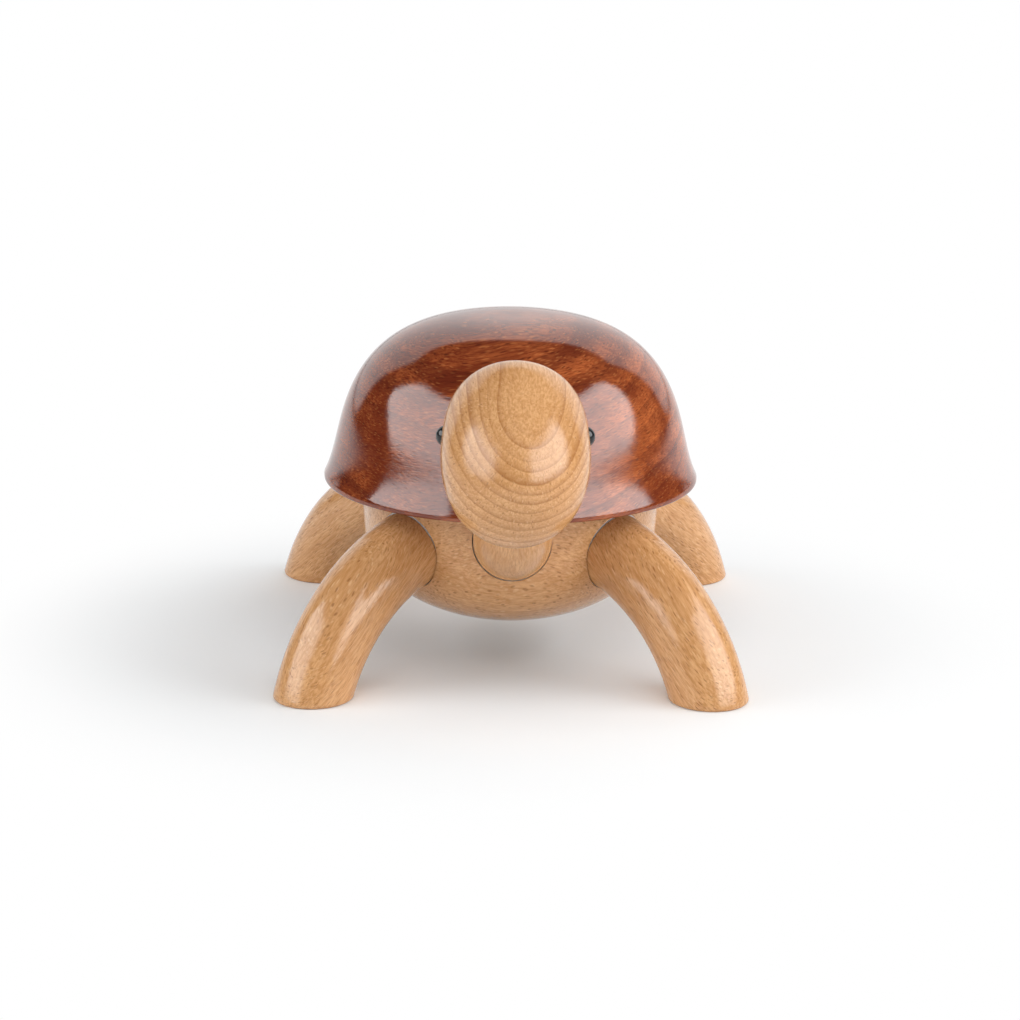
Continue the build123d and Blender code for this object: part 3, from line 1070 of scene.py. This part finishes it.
def makeLamp(name, azimuth, elevation, distance, width, height, power):
    # The lamps give the light; the cards give their reflections
    lamp = bpy.data.lights.new(name, "AREA")
    lamp.shape = "RECTANGLE"
    lamp.size = width
    lamp.size_y = height
    lamp.energy = power
    obj = addObject(name, lamp)
    placeAimed(obj, azimuth, elevation, distance)
    obj.visible_camera = False
    obj.visible_glossy = False


def seenPlainly(tree):
    # 1 for what the camera sees, also in a reflection or through glass
    rays = addNode(tree, "ShaderNodeLightPath").outputs
    return mathNode(tree, "MAXIMUM", rays["Is Camera Ray"],
                    mathNode(tree, "MAXIMUM", rays["Is Glossy Ray"], rays["Is Transmission Ray"]))


def mixShaders(tree, mask, first, second):
    mix = addNode(tree, "ShaderNodeMixShader")
    out = addNode(tree, "ShaderNodeOutputMaterial")
    join(tree, (mask, mix.inputs["Fac"]), (first.outputs[0], mix.inputs[1]), (second.outputs[0], mix.inputs[2]),
         (mix.outputs[0], out.inputs["Surface"]))


def glowing(name, strength, masked=True):
    material = bpy.data.materials.new(name)
    tree = emptyTree(material)
    glow = addNode(tree, "ShaderNodeEmission")
    glow.inputs["Strength"].default_value = strength
    if masked:
        inside = addNode(tree, "ShaderNodeAttribute", attribute_name="fromEdge").outputs["Fac"]
        mixShaders(tree, smoothMask(tree, inside, 0.0, cardMaking["softEdge"]),
                   addNode(tree, "ShaderNodeBsdfTransparent"), glow)
    else:
        join(tree, (glow.outputs[0], addNode(tree, "ShaderNodeOutputMaterial").inputs["Surface"]))
    return material


def placeReflected(name, points, faces, material, fromEdge=None):
    # A mesh that only reflections see
    mesh = bpy.data.meshes.new(name)
    mesh.from_pydata(points, [], faces)
    if fromEdge:
        mesh.attributes.new("fromEdge", "FLOAT", "POINT").data.foreach_set("value", fromEdge)
    mesh.materials.append(material)
    card = addObject(name, mesh)
    card.visible_camera = False
    card.visible_diffuse = False
    card.visible_shadow = False
    card.visible_transmission = False


def rearEdge(rear, height):
    # Azimuth of a card's rear edge at this elevation
    last = max(i for i in range(len(rear) - 1) if rear[i][0] <= height + 1e-6)
    (lowHeight, lowRear), (highHeight, highRear) = rear[last], rear[last + 1]
    return lowRear + (highRear - lowRear) * (height - lowHeight) / (highHeight - lowHeight)


def makeCards():
    # Rounded corners and soft edges come from fromEdge, which is 0 at the edge of a card
    steps, power = cardMaking["steps"], cardMaking["cornerPower"]
    starts = [row * (steps + 1) + column for row in range(steps) for column in range(steps)]
    faces = [(i, i + 1, i + steps + 2, i + steps + 1) for i in starts]
    for name, (strength, front, rear) in cards.items():
        points, fromEdge = [], []
        for row in range(steps + 1):
            up = row / steps
            height = rear[0][0] + (rear[-1][0] - rear[0][0]) * up
            edge = rearEdge(rear, height)
            for column in range(steps + 1):
                along = column / steps
                points.append(fromAzimuth(front + (edge - front) * along, height, cardMaking["distance"]))
                fromEdge.append(1 - (abs(2 * along - 1) ** power + abs(2 * up - 1) ** power) ** (1 / power))
        placeReflected(name, points, faces, glowing(name + "Glow", strength), fromEdge)


def makeRoom():
    # The dark room around the cards: a dome from the floor up
    columns, rows = room["columns"], room["rows"]
    low, high = room["heights"]
    points = [fromAzimuth(360 / columns * column, low + (high - low) * row / rows, room["distance"])
              for row in range(rows + 1) for column in range(columns)]
    faces = []
    for row in range(rows):
        for column in range(columns):
            beside = (column + 1) % columns
            faces.append((row * columns + column, row * columns + beside,
                          (row + 1) * columns + beside, (row + 1) * columns + column))
    placeReflected("darkRoom", points, faces, glowing("darkRoomWall", room["glow"], masked=False))


def makeSurround():
    world = bpy.data.worlds.new("whiteSurround")
    bpy.context.scene.world = world
    tree = emptyTree(world)
    surround = addNode(tree, "ShaderNodeBackground")
    surround.inputs["Color"].default_value = (1, 1, 1, 1)
    strength = mathNode(tree, "MULTIPLY_ADD", seenPlainly(tree), 1.0 - studio["surround"], studio["surround"])
    out = addNode(tree, "ShaderNodeOutputWorld")
    join(tree, (strength, surround.inputs["Strength"]), (surround.outputs[0], out.inputs[0]))


def makeFloor():
    mesh = bpy.data.meshes.new("floor")
    work = bmesh.new()
    bmesh.ops.create_grid(work, x_segments=1, y_segments=1, size=floorTones["half"])
    bmesh.ops.translate(work, verts=work.verts, vec=bodyAxis)
    work.to_mesh(mesh)
    work.free()
    material = bpy.data.materials.new("paleFloor")
    tree = emptyTree(material)
    distance = addNode(tree, "ShaderNodeVectorMath", operation="DISTANCE")
    distance.inputs[1].default_value = bodyAxis
    join(tree, (addNode(tree, "ShaderNodeTexCoord").outputs["Object"], distance.inputs[0]))
    matte = addNode(tree, "ShaderNodeBsdfDiffuse")
    # Painted shadow: the floor darkens and cools towards the body's axis
    nearness = smoothMask(tree, distance.outputs["Value"], 0.0, floorTones["nearTo"])
    join(tree, (mixColour(tree, nearness, floorTones["near"], floorTones["far"]), matte.inputs["Color"]))
    far = smoothMask(tree, distance.outputs["Value"], *floorTones["fade"])
    white = mathNode(tree, "MULTIPLY", mathNode(tree, "MAXIMUM", far, floorTones["lift"]), seenPlainly(tree))
    mixShaders(tree, white, matte, addNode(tree, "ShaderNodeEmission"))
    mesh.materials.append(material)
    floor = addObject("floor", mesh)


def makeCamera():
    data = bpy.data.cameras.new("photoCamera")
    data.sensor_width = studio["sensor"]
    data.lens = studio["focal"] * studio["sensor"] / studio["frameWidth"]
    camera = addObject("photoCamera", data)
    placeAimed(camera, studio["azimuth"], studio["elevation"], studio["distance"])
    camera.rotation_euler.rotate_axis("Z", math.radians(studio["roll"]))
    bpy.context.scene.camera = camera


for name, values in studio["lamps"].items():
    makeLamp(name, *values)
makeSurround()
makeCards()
makeRoom()
makeFloor()
makeCamera()
bpy.context.scene.view_settings.view_transform = "Standard"
print("stage: studio ready")
